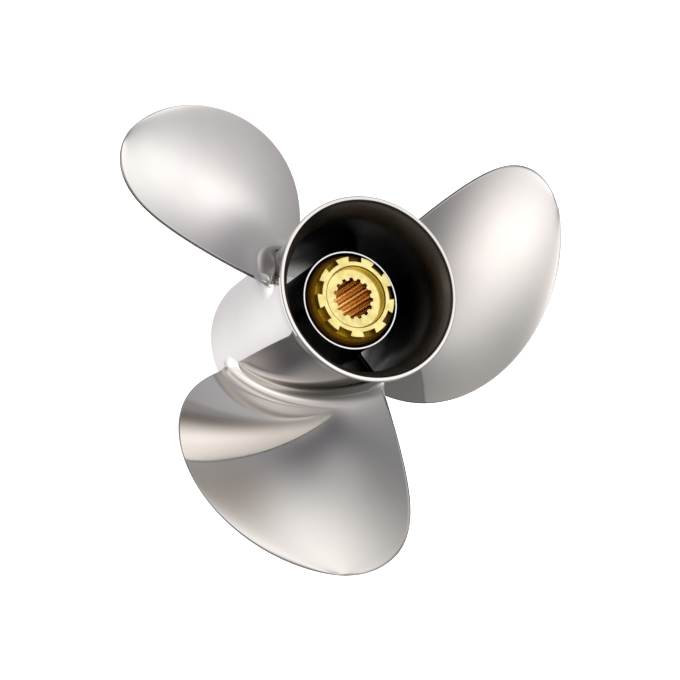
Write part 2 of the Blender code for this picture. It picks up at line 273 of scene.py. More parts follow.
class Builder:
    """Collects points, their exact normals where known, and faces with a material number."""

    def __init__(self):
        self.points, self.normals, self.faces, self.slots = [], [], [], []

    def point(self, place, normal=(0.0, 0.0, 0.0)):
        self.points.append(tuple(place))
        self.normals.append(tuple(normal))
        return len(self.points) - 1

    def face(self, corners, slot=0):
        self.faces.append(tuple(corners))
        self.slots.append(slot)

    def turned(self, profile, slot_of, first_angle=0.0, stations=STATIONS):
        """A surface of revolution. slot_of gives the material number of the profile's i-th stretch."""
        points, normals = profile
        rings = []
        for station in range(stations):
            angle = first_angle + TURN * station / stations
            c, s = math.cos(angle), math.sin(angle)
            rings.append([
                self.point((p[0] * c, p[0] * s, p[1]), (n[0] * c, n[0] * s, n[1]))
                for p, n in zip(points, normals)
            ])
        for station in range(stations):
            here, there = rings[station], rings[(station + 1) % stations]
            for i in range(len(points) - 1):
                self.face((here[i], there[i], there[i + 1], here[i + 1]), slot_of(i))

    def make(self, name, materials):
        shape = bmesh.new()
        known = shape.verts.layers.float_vector.new("known_normal")
        corners = []
        for place, normal in zip(self.points, self.normals):
            vertex = shape.verts.new(place)
            vertex[known] = normal
            corners.append(vertex)
        for face, slot in zip(self.faces, self.slots):
            made = shape.faces.new([corners[i] for i in face])
            made.material_index = slot
            made.smooth = True
        bmesh.ops.remove_doubles(shape, verts=shape.verts, dist=WELD)
        bmesh.ops.dissolve_degenerate(shape, edges=shape.edges, dist=WELD / 2)
        bmesh.ops.recalc_face_normals(shape, faces=shape.faces)
        mesh = bpy.data.meshes.new(name)
        shape.to_mesh(mesh)
        shape.free()
        for material in materials:
            mesh.materials.append(material)
        exact = np.zeros(len(mesh.vertices) * 3, np.float32)
        mesh.attributes["known_normal"].data.foreach_get("vector", exact)
        smooth = np.zeros(len(mesh.vertices) * 3, np.float32)
        mesh.vertex_normals.foreach_get("vector", smooth)
        exact, smooth = exact.reshape(-1, 3), smooth.reshape(-1, 3)
        # A known normal has the length one and a missing one the length nought.
        given = np.linalg.norm(exact, axis=1) > 0.5
        smooth[given] = exact[given]
        mesh.normals_split_custom_set_from_vertices(smooth.tolist())
        mesh.attributes.remove(mesh.attributes["known_normal"])
        obj = bpy.data.objects.new(name, mesh)
        bpy.context.scene.collection.objects.link(obj)
        return obj


# The casting

def section(radius):
    """Chord middle and half width as angles, and the thickest point's thickness, at a radius."""
    share = (radius - SECTION_RADIUS) / SPAN
    skew = sum(term * share ** power for power, term in enumerate(SKEW))
    half = ROOT_HALF_CHORD * max(1 - share ** FULLNESS, 0.0) ** (1 / TIP_ROUNDNESS)
    thickness = ROOT_THICKNESS + (TIP_THICKNESS - ROOT_THICKNESS) * share
    return math.radians(skew), half, thickness


def fillet_reach(radius):
    share = min(max((radius - BARREL_RADIUS) / ROOT_FILLET, 0.0), 1.0)
    return ROOT_FILLET * (1 - math.sqrt(1 - (1 - share) ** 2))


def blade_radii():
    fillet = [1 - math.cos(math.pi / 2 * i / FILLET_ROWS) for i in range(FILLET_ROWS)]
    rows = [BARREL_RADIUS + ROOT_FILLET * share for share in fillet]
    first = BARREL_RADIUS + ROOT_FILLET
    for i in range(BLADE_ROWS + 1):
        rows.append(TIP_RADIUS - (TIP_RADIUS - first) * (1 - i / BLADE_ROWS) ** TIP_CROWDING)
    return rows


def column_places(half_chord):
    """Distances from the edge to the chord's middle: close together round the edge, then even."""
    rim = EDGE_THICKNESS / 2
    near = [rim * (1 - math.cos(math.pi / 2 * i / EDGE_ARC_STEPS)) for i in range(EDGE_ARC_STEPS + 1)]
    near += [rim * share for share in EDGE_COLUMNS]
    near = np.array(near) * min(1.0, half_chord / EDGE_ROOM)
    rest = np.linspace(near[-1], half_chord, HALF_COLUMNS - len(near) + 2)[1:]
    return np.concatenate([near, rest])


def camber(radius, across):
    """How far both faces are bent aft of the helical surface: not at all at the blade's edges."""
    share = (radius - SECTION_RADIUS) / SPAN
    near = math.exp(-(radius - BARREL_RADIUS) / ROOT_CAMBER_FADE)
    bend = CAMBER * (1 - share) + ROOT_CAMBER * near
    lean = CAMBER_LEAN * share + ROOT_CAMBER_LEAN * near
    return (bend + lean * across) * (1 - across ** 2)


def blade_row(radius):
    """One closed ring of the blade as (angle, height) pairs: aft face from the leading to the trailing
    edge, then the forward face back."""
    middle, half, thickest = section(radius)
    helix = math.hypot(TURN * radius, PITCH) / TURN
    half_chord = half * helix
    inwards = half_chord - column_places(half_chord)
    chord = np.concatenate([-inwards, inwards[::-1][1:]])
    share = (radius - SECTION_RADIUS) / SPAN
    full = ROOT_HALF_CHORD * helix
    side = np.abs(chord) / full
    inside = np.clip(1 - share ** FULLNESS - side ** TIP_ROUNDNESS, 0, 1)
    steepness = np.hypot(
        FULLNESS * share ** (FULLNESS - 1) / SPAN, TIP_ROUNDNESS * side ** (TIP_ROUNDNESS - 1) / full
    )
    rim = EDGE_THICKNESS / 2
    depth = np.clip(inside / steepness / rim, 0, 1)
    edge = rim * np.sqrt(1 - (1 - depth) ** 2)
    growth = (thickest - EDGE_THICKNESS) * (1 - (1 - inside) ** THICKNESS_FADE)
    fillet = fillet_reach(radius)
    across = chord / half_chord
    end = np.clip((np.abs(across) - FILLET_TURN) / (1 - FILLET_TURN), 0, 1) * math.pi / 2
    aft = edge + fillet * np.cos(end)
    forward = -(edge + growth + fillet * np.cos(end))
    along = np.sign(across) * fillet * FILLET_END_SHARE * np.sin(end)
    slope = math.atan2(PITCH, TURN * radius)
    reach = radius - SECTION_RADIUS
    base = REFERENCE_HEIGHT + math.tan(RAKE) * reach - RAKE_LOSS * reach ** 2
    ring = []
    for lift in (aft + camber(radius, across), forward + camber(radius, across)):
        angle = middle + across * half
        height = base + PITCH * angle / TURN + lift * math.cos(slope) + along * math.sin(slope)
        angle = angle + (along * math.cos(slope) - lift * math.sin(slope)) / radius
        ring.append(np.stack([angle, height], 1))
    return np.concatenate([ring[0], ring[1][::-1][1:-1]])


def tip_place():
    middle, _, _ = section(TIP_RADIUS)
    reach = TIP_RADIUS - SECTION_RADIUS
    return middle, REFERENCE_HEIGHT + PITCH * middle / TURN + math.tan(RAKE) * reach - RAKE_LOSS * reach ** 2


def inside_outline(places, outline):
    """Which (x, y) places lie inside a closed outline, by crossings to the right."""
    x, y = places[:, 0:1], places[:, 1:2]
    ax, ay = outline[:, 0], outline[:, 1]
    bx, by = np.roll(ax, -1), np.roll(ay, -1)
    straddles = (ay > y) != (by > y)
    with np.errstate(divide="ignore", invalid="ignore"):
        meets = ax + (y - ay) * (bx - ax) / (by - ay)
    return (straddles & (x < meets)).sum(1) % 2 == 1


def make_casting(polished, inside_steel, edge_steel):
    """Barrel, flared mouth and blades as one seamless casting."""
    builder = Builder()
    radii = blade_radii()
    rows = [blade_row(radius) for radius in radii[:-1]]
    root = rows[0]
    leading, trailing = 0, len(root) // 2
    edge_start = BARREL_RADIUS + ROOT_FILLET
    sector = TURN / BLADE_COUNT
    gap = sector - (root[:, 0].max() - root[:, 0].min())
    left = root[:, 0].min() - gap / 2
    # The barrel's skin round one blade root, flattened to millimetres.
    low, high = 2 * BARREL_CHAMFER, FLARE_FOOT
    columns = STATIONS // BLADE_COUNT
    levels = round((high - low) / SKIN_STEP)
    outline = root * (BARREL_RADIUS / MM, 1 / MM)
    grid = []
    for i in range(columns + 1):
        for j in range(levels + 1):
            place = (left + sector * i / columns, low + (high - low) * j / levels)
            on_border = i in (0, columns) or j in (0, levels)
            flat = np.array((place[0] * BARREL_RADIUS / MM, place[1] / MM))
            near = np.linalg.norm(outline - flat, axis=1).min() < SKIN_CLEARANCE / MM
            if on_border or not (near or inside_outline(flat[None], outline)[0]):
                grid.append(place)
    places = [tuple(place) for place in root] + grid
    flat = np.array(places) * (BARREL_RADIUS / MM, 1 / MM)
    count = len(root)
    edges = [(i, (i + 1) % count) for i in range(count)]
    made = delaunay_2d_cdt([Vector(p) for p in flat], edges, [], 0, SAME_PLACE, True)
    origin = [ids[0] for ids in made[3]]
    triangles = np.array([[origin[i] for i in face] for face in made[2]])
    keep = ~inside_outline(flat[triangles].mean(1), outline)
    for number in range(BLADE_COUNT):
        spin = FIRST_BLADE_ANGLE + sector * number
        skin = [
            builder.point(polar(BARREL_RADIUS, angle + spin, height), polar(1.0, angle + spin, 0.0))
            for angle, height in places
        ]
        for triangle in triangles[keep]:
            builder.face([skin[i] for i in triangle])
        before = skin[:count]
        for radius, row in zip(radii[1:-1], rows[1:]):
            ring = [builder.point(polar(radius, angle + spin, height)) for angle, height in row]
            for i in range(count):
                j = (i + 1) % count
                steps_in = min(abs(i - leading), abs(i - trailing), count - i)
                on_edge = radius > edge_start and steps_in < EDGE_ARC_STEPS
                builder.face((before[i], before[j], ring[j], ring[i]), EDGE if on_edge else POLISHED)
            before = ring
        angle, height = tip_place()
        tip = builder.point(polar(TIP_RADIUS, angle + spin, height))
        for i in range(count):
            builder.face((before[i], before[(i + 1) % count], tip), EDGE)
    # From the skin's upper border over the lip, down the bore and round the forward end.
    lip_foot = MOUTH_HEIGHT - LIP_DEPTH

    def flare(start, end, foot, top):
        shares = [(i / FLARE_STEPS) ** FLARE_CROWDING for i in range(FLARE_STEPS + 1)]
        return [
            (start + (end - start) * share ** FLARE_POWER, foot + (top - foot) * share, 0) for share in shares
        ]

    outside = flare(BARREL_RADIUS, LIP_RADIUS - LIP_STEP, high, lip_foot)
    outside[-1] = (*outside[-1][:2], LIP_CORNER)
    lip = [
        (LIP_RADIUS, lip_foot, LIP_BACK_ROUND),
        (LIP_RADIUS, MOUTH_HEIGHT, LIP_ROUND),
        (LIP_BORE, MOUTH_HEIGHT, LIP_INNER_ROUND),
    ]
    inner = flare(BARREL_BORE, LIP_BORE, FLARE_FOOT, MOUTH_HEIGHT - 2 * LIP_INNER_ROUND)[::-1]
    down = [
        (BARREL_BORE, TUBE_MIDDLE, 0),
        (BARREL_BORE, 0.0, BARREL_END_ROUND),
        (BARREL_RADIUS, 0.0, BARREL_CHAMFER),
        (BARREL_RADIUS, low, 0),
    ]
    profile = rounded(outside + lip + inner + down)
    lips = [i for i, p in enumerate(profile[0]) if p[1] > MOUTH_HEIGHT - WELD]
    first_dark = lips[-1] + 1
    last_dark = len(profile[0]) - BARE_END_POINTS

    def slot_of(i):
        return INSIDE if first_dark <= i < last_dark else POLISHED

    builder.turned(profile, slot_of, left + FIRST_BLADE_ANGLE)
    return builder.make("steel_casting", [polished, inside_steel, edge_steel])


# Inside the mouth

def make_inner_hub(dark, bright):
    """The tube round the bushing, with its machined rim."""
    web_top = HUB_FOOT + WEB_THICKNESS
    ledge = HUB_HEIGHT - HUB_MOUTH_DEPTH
    corners = [
        (HUB_RADIUS, TUBE_MIDDLE, 0),
        (HUB_RADIUS, HUB_HEIGHT, HUB_RIM_ROUND),
        (HUB_MOUTH_BORE, HUB_HEIGHT, HUB_RIM_INNER_ROUND),
        (HUB_MOUTH_BORE, ledge, HUB_LEDGE_ROUND),
        (HUB_BORE, ledge, HUB_LEDGE_ROUND),
        (HUB_BORE, web_top, HUB_CAST_ROUND),
        (WEB_BORE, web_top, WEB_BORE_ROUND),
        (WEB_BORE, HUB_FOOT, WEB_BORE_ROUND),
        (HUB_RADIUS, HUB_FOOT, HUB_CAST_ROUND),
        (HUB_RADIUS, TUBE_MIDDLE, 0),
    ]
    profile = rounded(corners)
    rim = HUB_HEIGHT - HUB_RIM_HEIGHT

    def slot_of(i):
        (_, height), (_, next_height) = profile[0][i:i + 2]
        return BRIGHT_RIM if min(height, next_height) > rim else CAST_WALL

    builder = Builder()
    builder.turned(profile, slot_of, stations=HUB_STATIONS)
    return builder.make("inner_hub_tube", [dark, bright])


def make_rib(number, dark):
    """A cast wall from the tube to the barrel, flaring into both, its aft edge rounded."""
    middle = FIRST_RIB_ANGLE + TURN * (number - 1) / RIB_COUNT
    inner, outer = HUB_RADIUS + RIB_END_GAP, BARREL_BORE - RIB_END_GAP
    half = RIB_THICKNESS / 2
    steps, turns = RIB_STEPS, RIB_TOP_STEPS
    stations = []
    for i in range(steps + 1):
        radius = inner + (outer - inner) * (0.5 - 0.5 * math.cos(math.pi * i / steps))
        near = min(radius - inner, outer - radius)
        spare = max(RIB_FLARE - near, 0.0)
        extra = RIB_FLARE - math.sqrt(max(RIB_FLARE ** 2 - spare ** 2, 0.0))
        stations.append((radius, half + extra))
    builder = Builder()
    rings = []
    for radius, width in stations:
        ring = []
        around = [(-width, RIB_FOOT)]
        for k in range(turns + 1):
            turn = math.pi * k / turns
            around.append((-width * math.cos(turn), RIB_TOP - half + half * math.sin(turn)))
        around.append((width, RIB_FOOT))
        for offset, height in around:
            angle = middle + math.asin(offset / radius)
            ring.append(builder.point(polar(radius, angle, height)))
        rings.append(ring)
    count = len(rings[0])
    for before, after in zip(rings, rings[1:]):
        for i in range(count):
            j = (i + 1) % count
            builder.face((before[i], before[j], after[j], after[i]))
    builder.face(rings[0])
    builder.face(rings[-1][::-1])
    return builder.make(f"cast_rib_{number}", [dark])


def spline_ring(stations):
    """The bore's section: a groove for each spline of the shaft, with eased corners."""
    pitch = TURN / SPLINE_COUNT
    per = stations // SPLINE_COUNT
    floor, mouth = GROOVE_FLOOR * pitch, GROOVE_MOUTH * pitch
    ease = SPLINE_EASE * (mouth - floor)
    marks = [
        (-mouth - ease, SPLINE_MINOR_RADIUS), (-mouth + ease, SPLINE_MINOR_RADIUS + SPLINE_STEP),
        (-floor - ease, SPLINE_MAJOR_RADIUS - SPLINE_STEP), (-floor + ease, SPLINE_MAJOR_RADIUS),
        (0.0, SPLINE_MAJOR_RADIUS),
        (floor - ease, SPLINE_MAJOR_RADIUS), (floor + ease, SPLINE_MAJOR_RADIUS - SPLINE_STEP),
        (mouth - ease, SPLINE_MINOR_RADIUS + SPLINE_STEP), (mouth + ease, SPLINE_MINOR_RADIUS),
    ]
    spare = per - len(marks)
    start, end = mouth + ease, pitch - mouth - ease
    marks += [(start + (end - start) * (i + 1) / (spare + 1), SPLINE_MINOR_RADIUS) for i in range(spare)]
    ring = []
    for i in range(SPLINE_COUNT):
        ring += [(radius, FIRST_GROOVE_ANGLE + i * pitch + angle) for angle, radius in marks]
    return ring


def make_sleeve(brass, tarnished_and_shaded, broached):
    """The splined sleeve with its castellated collar: milled notches, a relief groove round the seat, and
    the collar's sharp edges outside the relief groove broken by a small bevel. The low places are
    tarnished, with painted shade."""
    stations = SLEEVE_STATIONS
    shape = bmesh.new()
    step = TURN / stations
    per_tooth = stations // TOOTH_COUNT
    tooth_steps = per_tooth // 2
    start = FIRST_TOOTH_ANGLE - step * tooth_steps / 2

    def ring(radius, height, milled=0.0):
        """A ring of stations. With milled, the ones on the notches' sides keep the notch's width."""
        half_notch = math.asin(NOTCH_WIDTH / 2 / milled) if milled else step * tooth_steps / 2
        half_tooth = step * tooth_steps - half_notch
        corners = []
        for i in range(stations):
            tooth, place = divmod(i, per_tooth)
            middle = start + step * (tooth * per_tooth + tooth_steps / 2)
            if place <= tooth_steps:
                angle = middle + half_tooth * (2 * place / tooth_steps - 1)
            else:
                share = 2 * (place - tooth_steps) / tooth_steps - 1
                angle = middle + step * tooth_steps + half_notch * share
            corners.append(shape.verts.new(polar(radius, angle, height)))
        return corners

    def face(corners, slot):
        shape.faces.new(corners).material_index = slot

    def bridge(below, above, slot=TURNED):
        for i in range(stations):
            j = (i + 1) % stations
            face((below[i], below[j], above[j], above[i]), slot)

    splines = spline_ring(stations)
    shift = min(range(stations), key=lambda k: abs(math.remainder(splines[k][1] - start, TURN)))
    splines = splines[shift:] + splines[:shift]

    def spline_loop(height, grow=0.0):
        return [shape.verts.new(polar(radius + grow, angle, height)) for radius, angle in splines]

    bore = [
        spline_loop(SLEEVE_FOOT, BORE_CHAMFER), spline_loop(SLEEVE_FOOT + BORE_CHAMFER),
        *(spline_loop(height) for height in SPLINE_LEVELS),
        spline_loop(SEAT_HEIGHT - BORE_CHAMFER), spline_loop(SEAT_HEIGHT, BORE_CHAMFER),
    ]
    collar_foot = RUBBER_TOP + SEAM
    ledge = HUB_HEIGHT - HUB_MOUTH_DEPTH + SEAM
    outside = [
        ring(SLEEVE_RADIUS, SLEEVE_FOOT), ring(SLEEVE_RADIUS, collar_foot),
        ring(HUB_BORE - SEAM, collar_foot), ring(HUB_BORE - SEAM, ledge), ring(COLLAR_RADIUS, ledge),
        ring(COLLAR_RADIUS, COLLAR_SHOULDER, TOOTH_RADIUS), ring(TOOTH_RADIUS, COLLAR_FLOOR, TOOTH_RADIUS),
    ]
    bridge(bore[0], outside[0])
    # painted shade: the outside and the cone round the teeth take the darker brass
    for below, above in zip(outside, outside[1:]):
        bridge(below, above, TARNISHED_AND_SHADED)
    for below, above in zip(bore, bore[1:]):
        bridge(below, above, BROACHED)
    groove = SEAT_RADIUS - RELIEF_WIDTH
    seat = [
        bore[-1], ring(groove, SEAT_HEIGHT), ring(groove + RELIEF_SLOPE, SEAT_HEIGHT - RELIEF_DEPTH),
        ring(SEAT_RADIUS, SEAT_HEIGHT - RELIEF_DEPTH), ring(SEAT_RADIUS, COLLAR_TOP - RECESS_CHAMFER),
    ]
    seat_top = ring(SEAT_RADIUS + RECESS_CHAMFER, COLLAR_TOP, TOOTH_ROOT_RADIUS)
    for below, above in zip(seat, seat[1:]):
        bridge(below, above)
    # painted shade: the recess's chamfer takes the darker brass, a dark ring at the corner
    bridge(seat[-1], seat_top, TARNISHED_AND_SHADED)
    root_top, root_floor = ring(TOOTH_ROOT_RADIUS, COLLAR_TOP, TOOTH_ROOT_RADIUS), {}
    bridge(seat_top, root_top)
    tooth_top = {}
    rim = outside[-1]
    tips = ring(TOOTH_RADIUS, COLLAR_TOP, TOOTH_RADIUS)
    floors = ring(TOOTH_ROOT_RADIUS, COLLAR_FLOOR, TOOTH_ROOT_RADIUS)
    for i in range(stations):
        place = i % per_tooth
        if place <= tooth_steps:
            tooth_top[i] = tips[i]
        else:
            shape.verts.remove(tips[i])
        if place == 0 or place >= tooth_steps:
            root_floor[i] = floors[i]
        else:
            shape.verts.remove(floors[i])
    # painted shade: the notches and the teeth's outer walls take the darker brass
    for i in range(stations):
        j = (i + 1) % stations
        if i % per_tooth < tooth_steps:
            face((root_top[i], root_top[j], tooth_top[j], tooth_top[i]), TURNED)
            face((tooth_top[i], tooth_top[j], rim[j], rim[i]), TARNISHED_AND_SHADED)
        else:
            face((root_top[i], root_top[j], root_floor[j], root_floor[i]), TARNISHED_AND_SHADED)
            face((root_floor[i], root_floor[j], rim[j], rim[i]), TARNISHED_AND_SHADED)
        if i in tooth_top and i in root_floor:
            face((root_top[i], tooth_top[i], rim[i], root_floor[i]), TARNISHED_AND_SHADED)
    bmesh.ops.recalc_face_normals(shape, faces=shape.faces)
    sharp = [
        edge for edge in shape.edges
        if len(edge.link_faces) == 2 and edge.calc_face_angle(0) > SHARP_EDGE
        and min(v.co.z for v in edge.verts) > BEVEL_FOOT
        and min(v.co.xy.length for v in edge.verts) > BEVEL_INNER_RADIUS
    ]
    bmesh.ops.bevel(
        shape, geom=sharp, offset=EDGE_BREAK, offset_type="OFFSET", segments=2, profile=0.5,
        affect="EDGES", clamp_overlap=True, material=-1,
    )
    for each in shape.faces:
        each.smooth = True
    mesh = bpy.data.meshes.new("brass_spline_sleeve")
    shape.to_mesh(mesh)
    shape.free()
    mesh.materials.append(brass)
    mesh.materials.append(tarnished_and_shaded)
    mesh.materials.append(broached)
    mesh.set_sharp_from_angle(angle=SMOOTH_LIMIT)
    obj = bpy.data.objects.new("brass_spline_sleeve", mesh)
    bpy.context.scene.collection.objects.link(obj)
    weighted = obj.modifiers.new("flat_faces", "WEIGHTED_NORMAL")
    weighted.keep_sharp = True
    return obj


# Materials

class Nodes:
    """Short calls for a material's node tree."""

    def __init__(self, tree):
        self.tree = tree
        self.place = tree.nodes.new("ShaderNodeTexCoord").outputs["Object"]

    def set(self, socket, value):
        if isinstance(value, bpy.types.NodeSocket):
            self.tree.links.new(value, socket)
        else:
            socket.default_value = value

    def math(self, operation, *values):
        node = self.tree.nodes.new("ShaderNodeMath")
        node.operation = operation
        for socket, value in zip(node.inputs, values):
            self.set(socket, value)
        return node.outputs[0]

    def vector(self, operation, *values):
        node = self.tree.nodes.new("ShaderNodeVectorMath")
        node.operation = operation
        for socket, value in zip(node.inputs, values):
            self.set(socket, value)
        return node.outputs["Value" if operation == "DOT_PRODUCT" else "Vector"]

    def split(self, vector):
        node = self.tree.nodes.new("ShaderNodeSeparateXYZ")
        self.set(node.inputs[0], vector)
        return node.outputs

    def join(self, x, y, z):
        node = self.tree.nodes.new("ShaderNodeCombineXYZ")
        for socket, value in zip(node.inputs, (x, y, z)):
            self.set(socket, value)
        return node.outputs[0]

    def noise(self, vector, scale, detail=3.0, roughness=0.55):
        node = self.tree.nodes.new("ShaderNodeTexNoise")
        self.set(node.inputs["Vector"], vector)
        self.set(node.inputs["Scale"], scale)
        self.set(node.inputs["Detail"], detail)
        self.set(node.inputs["Roughness"], roughness)
        return node.outputs["Fac"]

    def between(self, value, low, high, start, end):
        """Maps low..high to start..end and holds it outside."""
        node = self.tree.nodes.new("ShaderNodeMapRange")
        node.interpolation_type = "SMOOTHSTEP"
        for socket, number in zip(node.inputs, (value, low, high, start, end)):
            self.set(socket, number)
        return node.outputs[0]

    def colours(self, factor, first, second):
        node = self.tree.nodes.new("ShaderNodeMix")
        node.data_type = "RGBA"
        self.set(node.inputs["Factor"], factor)
        self.set(node.inputs["A"], (*first, 1.0) if isinstance(first, tuple) else first)
        self.set(node.inputs["B"], (*second, 1.0) if isinstance(second, tuple) else second)
        return node.outputs["Result"]

    def bump(self, height, distance, before=None):
        node = self.tree.nodes.new("ShaderNodeBump")
        node.inputs["Strength"].default_value = 1.0
        node.inputs["Distance"].default_value = distance
        self.set(node.inputs["Height"], height)
        if before is not None:
            self.set(node.inputs["Normal"], before)
        return node.outputs[0]

    def around(self):
        """Radius, the two parts of the unit direction from the shaft axis, and the height of the place."""
        x, y, z = self.split(self.place)
        radius = self.math("SQRT", self.math("ADD", self.math("MULTIPLY", x, x), self.math("MULTIPLY", y, y)))
        safe = self.math("MAXIMUM", radius, 1e-5)
        return radius, self.math("DIVIDE", x, safe), self.math("DIVIDE", y, safe), z


def new_material(name):
    material = bpy.data.materials.new(name)
    material.use_nodes = True
    shader = material.node_tree.nodes["Principled BSDF"]
    return material, Nodes(material.node_tree), shader.inputs


def polished_steel():
    """Mirror-polished casting: soft reflections, faint waves and polishing marks, a few hazy patches."""
    material, nodes, shader = new_material("polished_steel_look")
    radius, x, y, z = nodes.around()
    shader["Metallic"].default_value = 1.0
    shader["Specular Tint"].default_value = (0.75, 0.74, 0.73, 1.0)
    haze = nodes.noise(nodes.place, 22.0, 4.0)
    marks = nodes.noise(nodes.join(nodes.math("MULTIPLY", x, 160.0), nodes.math("MULTIPLY", y, 160.0),
                                   nodes.math("MULTIPLY", nodes.math("ADD", radius, z), 26.0)), 4.0, 2.0)
    patches = nodes.between(haze, 0.35, 0.7, 0.0, 1.0)
    nodes.set(shader["Base Color"], nodes.colours(patches, (0.625, 0.61, 0.598), (0.605, 0.587, 0.572)))
    rough = nodes.math("MULTIPLY_ADD", marks, 0.02, nodes.between(haze, 0.3, 0.75, 0.04, 0.075))
    nodes.set(shader["Roughness"], rough)
    waves = nodes.bump(nodes.noise(nodes.place, 38.0, 1.0), 0.00003)
    nodes.set(shader["Normal"], nodes.bump(marks, 0.0000002, waves))
    return material


def ground_edge():
    """The blades' rounded edges: ground by hand and darker than the polished faces."""
    material, nodes, shader = new_material("ground_edge_look")
    grind = nodes.noise(nodes.place, 700.0, 3.0)
    shader["Metallic"].default_value = 1.0
    nodes.set(shader["Base Color"], nodes.colours(
        nodes.between(grind, 0.35, 0.65, 0.0, 1.0), (0.12, 0.118, 0.115), (0.18, 0.175, 0.17)))
    nodes.set(shader["Roughness"], nodes.between(grind, 0.3, 0.7, 0.16, 0.3))
    nodes.set(shader["Normal"], nodes.bump(grind, 0.000006))
    return material


def hub_inside():
    """Cast steel inside the exhaust passage: grainy, near black in the middle and lighter brown towards the
    mouth, with painted light near the forward end and a painted shade that dims the sheen on the right.
    """
    material, nodes, shader = new_material("hub_inside_look")
    stain = nodes.noise(nodes.place, 45.0, 5.0, 0.6)
    grain = nodes.noise(nodes.place, 900.0, 3.0)
    _, x, _, height = nodes.around()
    shader["Metallic"].default_value = 1.0
    # painted shade: between two heights on the right-hand wall, a darker specular tint dims the sheen
    thick = nodes.math("MULTIPLY", nodes.between(height, *DIM_SHEEN_FOOT, 0.0, 1.0),
                       nodes.between(height, *DIM_SHEEN_TOP, 1.0, 0.0))
    thick = nodes.math("MULTIPLY", thick, nodes.between(x, *DIM_SHEEN_SIDE, 0.0, 1.0))
    nodes.set(shader["Specular Tint"], nodes.colours(thick, (0.6, 0.6, 0.6), (0.4, 0.4, 0.4)))
    # near black in random patches along the middle of the passage, turning lighter brown towards the mouth
    dark_wall = nodes.colours(
        nodes.between(stain, 0.35, 0.65, 0.0, 1.0), (0.008, 0.0075, 0.007), (0.014, 0.013, 0.012))
    mouth = nodes.colours(nodes.between(height, *DARK_WALL_TOP, 0.0, 1.0), dark_wall, (0.16, 0.14, 0.125))
    # painted light: the wall is pale near the forward end, for light coming in through the open end
    beyond_forward_light = nodes.between(height, 0.0, FORWARD_LIGHT_TOP, 0.0, 1.0)
    nodes.set(shader["Base Color"], nodes.colours(beyond_forward_light, (0.70, 0.665, 0.635), mouth))
    nodes.set(shader["Roughness"], nodes.between(stain, 0.3, 0.7, 0.3, 0.45))
    nodes.set(shader["Normal"], nodes.bump(grain, 0.00012))
    return material


def machined_brass():
    """Turned brass: fine rings round the axis, faint patches, and on the recess's wall a painted reflection:
    a deeper yellow for light bounced between the brass walls.
    """
    material, nodes, shader = new_material("brass_look")
    radius, x, _, z = nodes.around()
    rings = nodes.noise(nodes.join(nodes.math("MULTIPLY", radius, 9000.0), nodes.math("MULTIPLY", z, 9000.0),
                                   nodes.math("MULTIPLY", x, 3.0)), 1.0, 1.0)
    tarnish = nodes.noise(nodes.place, 160.0, 4.0)
    # painted reflection: the recess's wall is a deeper, half matt yellow, for light bounced between the brass
    # walls
    wall = nodes.math("MULTIPLY", nodes.between(z, SEAT_HEIGHT, SEAT_HEIGHT + 0.4 * MM, 0.0, 1.0),
                      nodes.between(z, COLLAR_TOP - 0.5 * MM, COLLAR_TOP - 0.1 * MM, 1.0, 0.0))
    turned = nodes.colours(
        nodes.between(tarnish, 0.35, 0.75, 0.0, 1.0), (0.77, 0.65, 0.28), (0.73, 0.59, 0.22))
    nodes.set(shader["Metallic"], nodes.between(wall, 0.0, 1.0, 1.0, 0.75))
    nodes.set(shader["Base Color"], nodes.colours(wall, turned, (1.0, 0.80, 0.10)))
    rough = nodes.math("MULTIPLY_ADD", rings, 0.08, nodes.between(tarnish, 0.3, 0.7, 0.13, 0.2))
    nodes.set(shader["Roughness"], nodes.math("MULTIPLY_ADD", wall, 0.1, rough))
    nodes.set(shader["Normal"], nodes.bump(rings, 0.000002))
    return material


def tarnished_and_shaded_brass():
    """Brass in the low places, half matt: brown oxide darkened with painted shade, and painted light on the
    side turned to the lower left.
    """
    material, nodes, shader = new_material("tarnished_and_shaded_brass_look")
    oxide = nodes.noise(nodes.place, 240.0, 5.0, 0.6)
    radius, x, y, height = nodes.around()
    # painted light: the side turned to the lower left is painted lighter and less metallic, the far side
    # darker
    to_painted_lit_side = nodes.vector("DOT_PRODUCT", nodes.join(x, y, 0.0), PAINTED_LIT_SIDE)
    painted_lit_side = nodes.between(to_painted_lit_side, -0.6, 0.6, 0.0, 1.0)
    thick = nodes.between(oxide, 0.35, 0.7, 0.0, 1.0)
    notch = nodes.colours(painted_lit_side, (0.15, 0.07, 0.008), (0.62, 0.38, 0.009))
    dark_notch = nodes.colours(painted_lit_side, (0.10, 0.042, 0.006), (0.46, 0.26, 0.006))
    painted_lit_cone = nodes.colours(thick, (0.78, 0.40, 0.012), (0.52, 0.24, 0.015))
    cone = nodes.colours(painted_lit_side, (0.20, 0.09, 0.012), painted_lit_cone)
    # painted shade: the cone's outer band, by the gap to the tube, is darker brown
    outer = nodes.between(radius, COLLAR_RADIUS - 1.9 * MM, COLLAR_RADIUS - 0.7 * MM, 0.0, 1.0)
    cone = nodes.colours(outer, cone, (0.20, 0.085, 0.02))
    low = nodes.between(height, COLLAR_FLOOR - 0.6 * MM, COLLAR_FLOOR - 0.1 * MM, 0.0, 1.0)
    nodes.set(shader["Base Color"], nodes.colours(low, cone, nodes.colours(thick, notch, dark_notch)))
    shader["Specular IOR Level"].default_value = 0.25
    nodes.set(shader["Metallic"], nodes.between(painted_lit_side, 0.0, 1.0, 0.65, 0.4))
    nodes.set(shader["Roughness"], nodes.between(oxide, 0.3, 0.7, 0.35, 0.52))
    nodes.set(shader["Normal"], nodes.bump(oxide, 0.00005))
    return material


